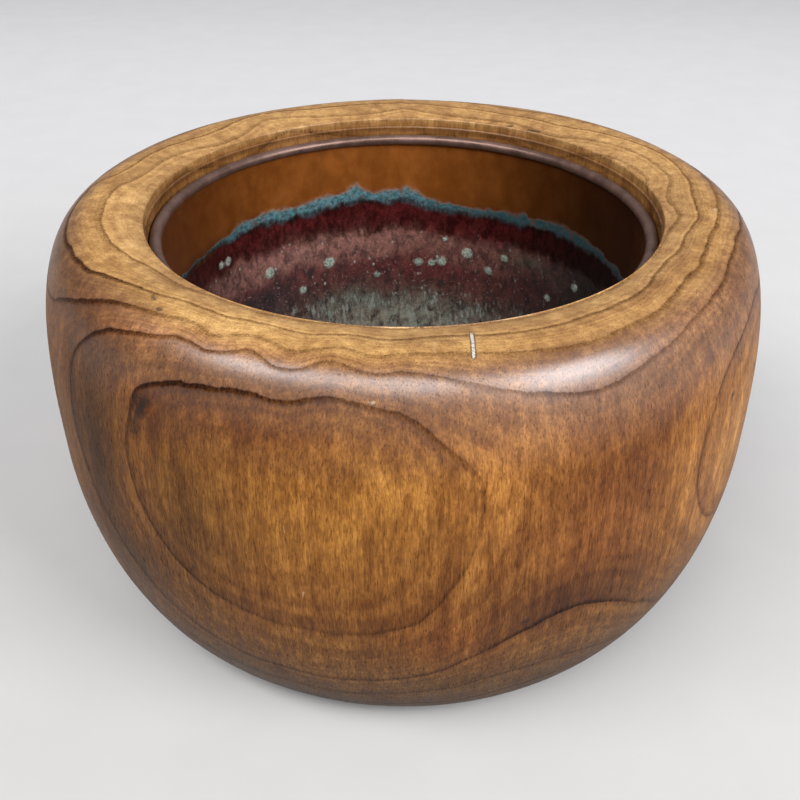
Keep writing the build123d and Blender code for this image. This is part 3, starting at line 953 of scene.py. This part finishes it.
def copper_floor_material():
    """The liner's floor: grey ash scale, verdigris and dark red oxide in blotches."""
    m = Material("liner_floor_copper")
    blot = m.noise(38, detail=7, rough=0.7, distortion=0.3)
    fine = m.noise(1.8, detail=4, rough=0.7, shift=(2, 9, 4))
    crust = m.noise(9, detail=5, rough=0.6, shift=(6, 1, 3), distortion=0.4)
    colour = m.mix(m.span(fine, 0.3, 0.7), (0.1, 0.03, 0.022), (0.17, 0.07, 0.05))
    scale = m.mix(m.span(fine, 0.3, 0.7), (0.06, 0.075, 0.065), (0.3, 0.33, 0.28))
    colour = m.mix(m.span(m.add(blot, m.mul(fine, 0.25)), 0.46, 0.74), colour, scale)
    colour = m.mix(m.span(crust, 0.54, 0.68, 0, 0.7), colour, (0.27, 0.265, 0.235))
    colour = m.mix(m.span(crust, 0.44, 0.32, 0, 0.75), colour, (0.035, 0.024, 0.021))
    relief = m.bump(m.add(crust, m.mul(fine, 0.5)), 0.8, 0.6)
    return m.shaded(colour, m.span(blot, 0.3, 0.7, 0.5, 0.75), relief, 0.1)


def bead_material():
    """Dark handled copper, brown with a dull pinkish shine on top."""
    m = Material("bead_copper")
    blot = m.noise(16, detail=5, rough=0.6)
    fine = m.noise(1.2, rough=0.6, shift=(4, 4, 1))
    colour = m.mix(m.span(blot, 0.3, 0.7), (0.12, 0.07, 0.052), (0.22, 0.135, 0.108))
    colour = m.mix(m.span(fine, 0.55, 0.7, 0, 0.4), colour, (0.26, 0.16, 0.125))
    colour = m.mix(m.span(blot, 0.62, 0.72, 0, 0.4), colour, (0.07, 0.09, 0.075))
    relief = m.bump(m.add(blot, m.mul(fine, 0.4)), 0.2, 0.5)
    return m.shaded(colour, m.span(blot, 0.3, 0.7, 0.34, 0.46), relief, 0.6)


def board_material():
    """Sawn softwood of the base board: grain along X, dark with age."""
    m = Material("board_wood")
    grain = m.noise(4, 16, 4, 0.6, axis=0)
    wide = m.noise(18, 9, 3, 0.5, (3, 3, 3), axis=0)
    fine = m.noise(0.6, 12, 2, 0.6, (1, 2, 5), axis=0)
    colour = m.mix(m.span(grain, 0.3, 0.7), (0.14, 0.085, 0.045), (0.26, 0.17, 0.095))
    colour = m.mix(m.span(wide, 0.45, 0.62, 0, 0.6), colour, (0.1, 0.06, 0.034))
    colour = m.tint(colour, (0.8, 0.8, 0.8), (1.2, 1.2, 1.2), fine)
    relief = m.bump(m.add(grain, m.mul(fine, 0.6)), 0.4, 0.6)
    return m.shaded(colour, m.span(grain, 0.3, 0.7, 0.62, 0.78), relief)


def bamboo_material():
    """Split bamboo nails: pale, with long fibres and dark smudges."""
    m = Material("bamboo")
    fibre = m.noise(0.35, 24, 2, 0.6)
    smudge = m.noise(3.5, shift=(2, 5, 5))
    colour = m.mix(m.span(fibre, 0.35, 0.65), (0.24, 0.15, 0.07), (0.46, 0.33, 0.17))
    colour = m.mix(m.span(smudge, 0.5, 0.7, 0, 0.5), colour, (0.12, 0.075, 0.04))
    return m.shaded(colour, m.span(fibre, 0.3, 0.7, 0.45, 0.6), m.bump(fibre, 0.08, 0.6))


def wire_material():
    """Iron wire: grey with rust blooms."""
    m = Material("iron_wire")
    rust = m.noise(2.6, detail=5, rough=0.7)
    fine = m.noise(0.4, shift=(1, 1, 4))
    colour = m.mix(m.span(rust, 0.42, 0.6), (0.18, 0.18, 0.19), (0.22, 0.075, 0.03))
    colour = m.tint(colour, (0.8, 0.8, 0.8), (1.2, 1.2, 1.2), fine)
    roughness = m.span(rust, 0.4, 0.6, 0.38, 0.8)
    metallic = m.span(rust, 0.42, 0.6, 0.9, 0.1)
    return m.shaded(colour, roughness, m.bump(m.add(rust, fine), 0.1, 0.6), metallic)


def floor_material():
    """Plain pale floor, matt, with the faintest mottling, and paler towards the back: a painted gradient
    of light that offsets the lamps' falloff over the floor.
    """
    m = Material("studio_floor")
    mottle = m.noise(60, detail=4)
    depth = m.node("ShaderNodeSeparateXYZ", {0: m.place}).outputs["Y"]
    # Painted light: the floor's colour rises from front to back
    pale = m.mix(m.span(depth, -0.5, 1.6), (0.485, 0.485, 0.468), (0.83, 0.83, 0.82))
    return m.shaded(m.tint(pale, (0.985, 0.985, 0.985), (1.01, 1.01, 1.01), mottle), 0.7)


# ======== The scene ========

FLOOR_HALF = 6.0
SKY_STRENGTH = (0.24, 0.38)  # from the left to the right
CAMERA_PLACE = (-0.0022, -0.5611, 0.4862)
CAMERA_DOWN = 34.25  # degrees below the horizon
CAMERA_LENS = 42.75


def finish_piece(piece, body, node, material):
    """Puts a new piece on its body in place of a CAD node."""
    piece.data.materials.append(material)
    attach(piece, body)
    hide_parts(node)


def dress_node(node, material):
    """Gives a CAD node that stays as it is a better material."""
    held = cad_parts[node].data.materials
    held.clear()
    held.append(material)


def add_floor():
    """Plain square floor under the bowl."""
    corners = [(x * FLOOR_HALF, y * FLOOR_HALF, 0) for x, y in ((-1, -1), (1, -1), (1, 1), (-1, 1))]
    mesh = bpy.data.meshes.new("studio_floor")
    mesh.from_pydata(corners, [], [(0, 1, 2, 3)])
    mesh.materials.append(floor_material())
    placed("studio_floor", mesh)


def add_softbox(name, direction, distance, size, power, colour):
    """Rectangular soft light that faces the bowl from a direction."""
    light = bpy.data.lights.new(name, "AREA")
    light.shape = "RECTANGLE"
    light.size, light.size_y = size
    light.energy = power
    light.color = colour
    lamp = placed(name, light)
    aim = Vector((0, 0, HEIGHT / 2))
    lamp.location = aim + Vector(direction).normalized() * distance
    lamp.rotation_euler = (aim - lamp.location).to_track_quat("-Z", "Y").to_euler()
    lamp.visible_camera = False


def add_lights():
    """A window on the right, a wide soft light over the viewer and a dim sky, brighter on the right."""
    add_softbox("window", direction=(1.31, -0.95, 1.14), distance=3.0, size=(1.5, 1.3), power=74,
                colour=(0.98, 0.97, 1.0))
    add_softbox("overhead", direction=(-0.62, -1.15, 1.85), distance=3.4, size=(4.2, 1.3), power=140,
                colour=(1.0, 0.98, 1.0))
    world = bpy.data.worlds.new("studio")
    world.use_nodes = True
    tree = world.node_tree
    background = tree.nodes["Background"]
    background.inputs["Color"].default_value = (0.92, 0.94, 1.0, 1)
    direction = tree.nodes.new("ShaderNodeSeparateXYZ")
    tree.links.new(tree.nodes.new("ShaderNodeTexCoord").outputs["Generated"], direction.inputs[0])
    strength = tree.nodes.new("ShaderNodeMapRange")
    tree.links.new(direction.outputs["X"], strength.inputs["Value"])
    for name, value in zip(("From Min", "From Max", "To Min", "To Max"), (-1, 1) + SKY_STRENGTH):
        strength.inputs[name].default_value = value
    tree.links.new(strength.outputs["Result"], background.inputs["Strength"])
    bpy.context.scene.world = world
    bpy.context.scene.view_settings.view_transform = "Standard"


def add_camera():
    """Standing viewer close in front, looking down into the mouth."""
    camera = bpy.data.cameras.new("camera")
    camera.sensor_width = 36.0
    camera.lens = CAMERA_LENS
    camera.clip_start = 0.01
    holder = placed("camera", camera)
    holder.location = CAMERA_PLACE
    holder.rotation_euler = (math.radians(90 - CAMERA_DOWN), 0, 0)
    bpy.context.scene.camera = holder


add_camera()
add_floor()
add_lights()

finish_piece(build_log(), "vessel", "log_shell", log_material())
finish_piece(build_liner_wall(), "liner", "liner_wall", copper_wall_material())
finish_piece(build_liner_bottom(), "liner", "liner_bottom", copper_floor_material())
finish_piece(build_liner_rim(), "liner", "liner_rim", bead_material())
dress_node("base_board", board_material())
dress_node("base_nails", bamboo_material())
dress_node("rim_wire", wire_material())
